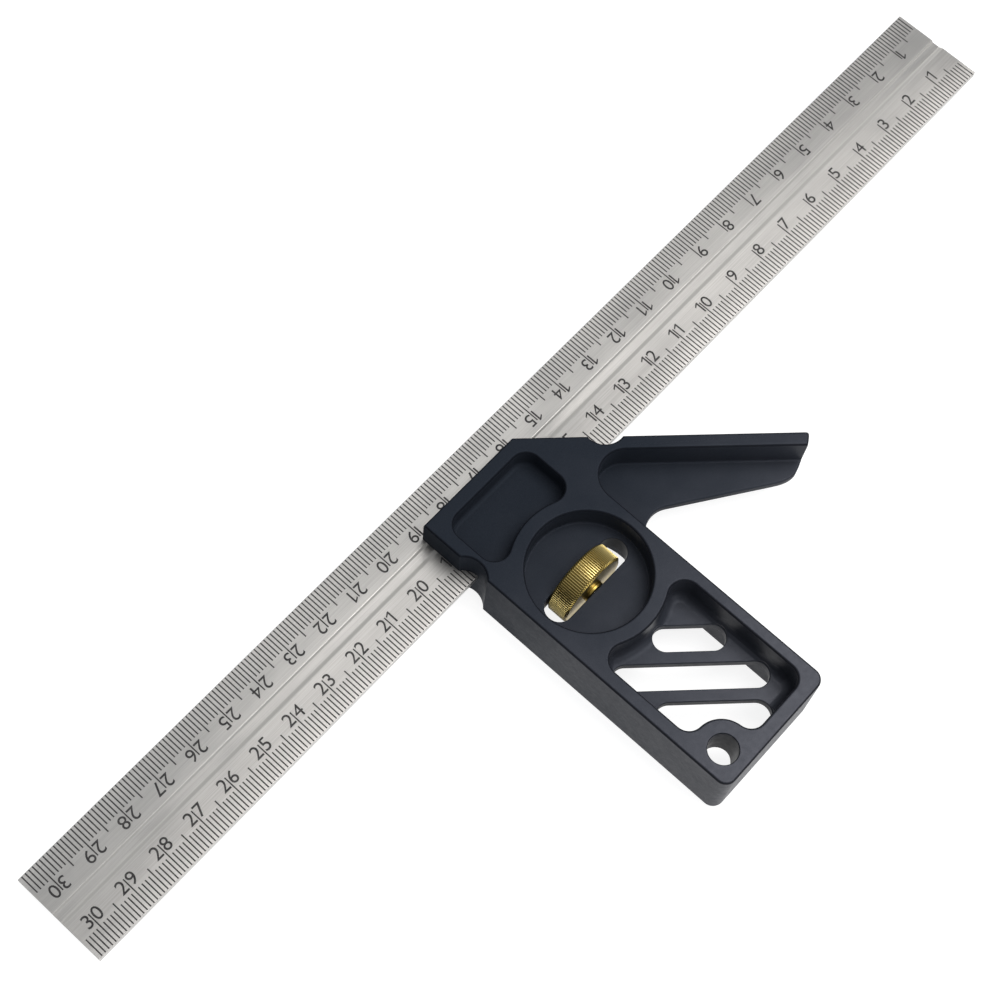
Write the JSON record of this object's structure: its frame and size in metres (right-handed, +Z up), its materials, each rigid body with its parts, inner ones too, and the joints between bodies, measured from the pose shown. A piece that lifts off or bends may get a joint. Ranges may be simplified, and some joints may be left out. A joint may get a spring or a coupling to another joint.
{
  "type": "combination square",
  "caption": "Combination square: a graduated steel rule slides in an anodised head with square and mitre fences, locked by a knurled nut.",
  "frame": {"origin": "on the surface the square lies on, under the middle of its whole box, with the head where it is clamped on the rule at rest", "axes": "+X along the rule from its zero end, +Y from the rule towards the butt of the head's handle, +Z up through the head's thickness"},
  "size_m": [0.305, 0.098, 0.019],
  "materials": {
    "anodised_aluminium": "blasted and anodised blue-black, satin",
    "satin_steel": "satin brushed stainless steel with black-filled graduations",
    "brass": "machined and straight knurled",
    "bolt_steel": "turned steel",
    "spring_steel": "drawn spring wire"
  },
  "bodies": {
    "head": {"head": "anodised_aluminium", "bolt_spring": "spring_steel"},
    "rule": {"rule": "satin_steel"},
    "nut": {"clamp_nut": "brass"},
    "bolt": {"draw_bolt": "bolt_steel"}
  },
  "joints": [
    {"name": "rule_slide", "type": "slide", "parent": "head", "child": "rule", "axis": [1, 0, 0], "range_m": [-0.114, 0.144]},
    {"name": "nut_turn", "type": "hinge", "parent": "head", "child": "nut", "pos_m": [0.02025, -0.0062, 0.0095], "axis": [0, 1, 0], "range_deg": [0, 360]},
    {"name": "bolt_slide", "type": "slide", "parent": "head", "child": "bolt", "axis": [0, -1, 0], "range_m": [0, 0.0007], "deforming": ["bolt_spring"]}
  ],
  "couplings": [
    {"joint": "bolt_slide", "follows": "nut_turn", "m_per_rad": 0.000111}
  ]
}
